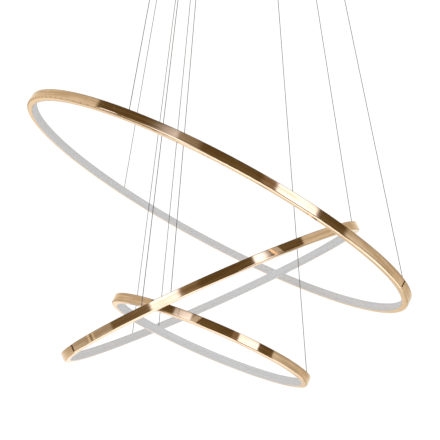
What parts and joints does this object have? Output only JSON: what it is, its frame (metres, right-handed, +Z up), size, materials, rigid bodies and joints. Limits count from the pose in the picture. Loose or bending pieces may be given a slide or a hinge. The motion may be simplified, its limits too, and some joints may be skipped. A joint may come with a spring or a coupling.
{
  "type": "ring chandelier",
  "caption": "Hanging light of nested, tilted gold rings with inward facing diffusers, held by thin wires from a round ceiling pan.",
  "frame": {"origin": "middle of the ceiling bracket's upper face, in the ceiling plane, on the lamp's hanging axis", "axes": "+Z up into the ceiling, +X to the viewer's right in the picture, +Y away from the viewer"},
  "size_m": [0.7276, 0.8001, 0.9081],
  "materials": {
    "ring_gold": "polished rose gold anodising",
    "canopy_gold": "polished rose gold plating",
    "fitting_gold": "turned and gold plated",
    "diffuser": "satin opal",
    "wire_steel": "fine stranded steel",
    "zinc_steel": "zinc plated",
    "strip_film": "white flexible circuit",
    "led_phosphor": "yellow phosphor",
    "anchor_plastic": "natural nylon",
    "ferrule_brass": "crimped brass",
    "driver_case": "white moulded",
    "terminal_plastic": "natural nylon"
  },
  "bodies": {
    "canopy": {"canopy_pan": "canopy_gold", "ceiling_bracket": "zinc_steel", "canopy_studs": "zinc_steel", "canopy_cap_nuts": "fitting_gold", "gripper_bodies": "fitting_gold", "gripper_nuts": "fitting_gold", "led_driver": "driver_case", "driver_screws": "zinc_steel", "mains_terminal_block": "terminal_plastic"},
    "large_ring": {"large_ring_channel": "ring_gold", "large_ring_diffuser": "diffuser", "large_led_strip": "strip_film", "large_led_chips": "led_phosphor", "large_splice_plate": "zinc_steel", "large_splice_screws": "zinc_steel", "large_wire_anchors": "anchor_plastic", "large_wire_ferrules": "ferrule_brass", "wire_large_front": "wire_steel", "wire_large_back": "wire_steel", "wire_large_side": "wire_steel"},
    "middle_ring": {"middle_ring_channel": "ring_gold", "middle_ring_diffuser": "diffuser", "middle_led_strip": "strip_film", "middle_led_chips": "led_phosphor", "middle_splice_plate": "zinc_steel", "middle_splice_screws": "zinc_steel", "middle_wire_anchors": "anchor_plastic", "middle_wire_ferrules": "ferrule_brass", "wire_middle_front": "wire_steel", "wire_middle_back": "wire_steel", "wire_middle_side": "wire_steel"},
    "small_ring": {"small_ring_channel": "ring_gold", "small_ring_diffuser": "diffuser", "small_led_strip": "strip_film", "small_led_chips": "led_phosphor", "small_splice_plate": "zinc_steel", "small_splice_screws": "zinc_steel", "small_wire_anchors": "anchor_plastic", "small_wire_ferrules": "ferrule_brass", "wire_small_front": "wire_steel", "wire_small_back": "wire_steel", "wire_small_side": "wire_steel"},
    "release_nozzle_large_front": {"nozzle_large_front": "fitting_gold"},
    "release_nozzle_large_back": {"nozzle_large_back": "fitting_gold"},
    "release_nozzle_large_side": {"nozzle_large_side": "fitting_gold"},
    "release_nozzle_middle_front": {"nozzle_middle_front": "fitting_gold"},
    "release_nozzle_middle_back": {"nozzle_middle_back": "fitting_gold"},
    "release_nozzle_middle_side": {"nozzle_middle_side": "fitting_gold"},
    "release_nozzle_small_front": {"nozzle_small_front": "fitting_gold"},
    "release_nozzle_small_back": {"nozzle_small_back": "fitting_gold"},
    "release_nozzle_small_side": {"nozzle_small_side": "fitting_gold"}
  },
  "joints": [
    {"name": "large_ring_height", "type": "slide", "parent": "canopy", "child": "large_ring", "axis": [0, 0, 1], "range_m": [-0.3, 0.1], "deforming": ["wire_large_front", "wire_large_back", "wire_large_side"]},
    {"name": "middle_ring_height", "type": "slide", "parent": "canopy", "child": "middle_ring", "axis": [0, 0, 1], "range_m": [-0.3, 0.1], "deforming": ["wire_middle_front", "wire_middle_back", "wire_middle_side"]},
    {"name": "small_ring_height", "type": "slide", "parent": "canopy", "child": "small_ring", "axis": [0, 0, 1], "range_m": [-0.3, 0.1], "deforming": ["wire_small_front", "wire_small_back", "wire_small_side"]},
    {"name": "nozzle_large_front_release", "type": "slide", "parent": "canopy", "child": "release_nozzle_large_front", "axis": [0, 0, 1], "range_m": [0, 0.002], "stiffness_N_per_m": 400, "springref_m": -0.001},
    {"name": "nozzle_large_back_release", "type": "slide", "parent": "canopy", "child": "release_nozzle_large_back", "axis": [0, 0, 1], "range_m": [0, 0.002], "stiffness_N_per_m": 400, "springref_m": -0.001},
    {"name": "nozzle_large_side_release", "type": "slide", "parent": "canopy", "child": "release_nozzle_large_side", "axis": [0, 0, 1], "range_m": [0, 0.002], "stiffness_N_per_m": 400, "springref_m": -0.001},
    {"name": "nozzle_middle_front_release", "type": "slide", "parent": "canopy", "child": "release_nozzle_middle_front", "axis": [0, 0, 1], "range_m": [0, 0.002], "stiffness_N_per_m": 400, "springref_m": -0.001},
    {"name": "nozzle_middle_back_release", "type": "slide", "parent": "canopy", "child": "release_nozzle_middle_back", "axis": [0, 0, 1], "range_m": [0, 0.002], "stiffness_N_per_m": 400, "springref_m": -0.001},
    {"name": "nozzle_middle_side_release", "type": "slide", "parent": "canopy", "child": "release_nozzle_middle_side", "axis": [0, 0, 1], "range_m": [0, 0.002], "stiffness_N_per_m": 400, "springref_m": -0.001},
    {"name": "nozzle_small_front_release", "type": "slide", "parent": "canopy", "child": "release_nozzle_small_front", "axis": [0, 0, 1], "range_m": [0, 0.002], "stiffness_N_per_m": 400, "springref_m": -0.001},
    {"name": "nozzle_small_back_release", "type": "slide", "parent": "canopy", "child": "release_nozzle_small_back", "axis": [0, 0, 1], "range_m": [0, 0.002], "stiffness_N_per_m": 400, "springref_m": -0.001},
    {"name": "nozzle_small_side_release", "type": "slide", "parent": "canopy", "child": "release_nozzle_small_side", "axis": [0, 0, 1], "range_m": [0, 0.002], "stiffness_N_per_m": 400, "springref_m": -0.001}
  ]
}
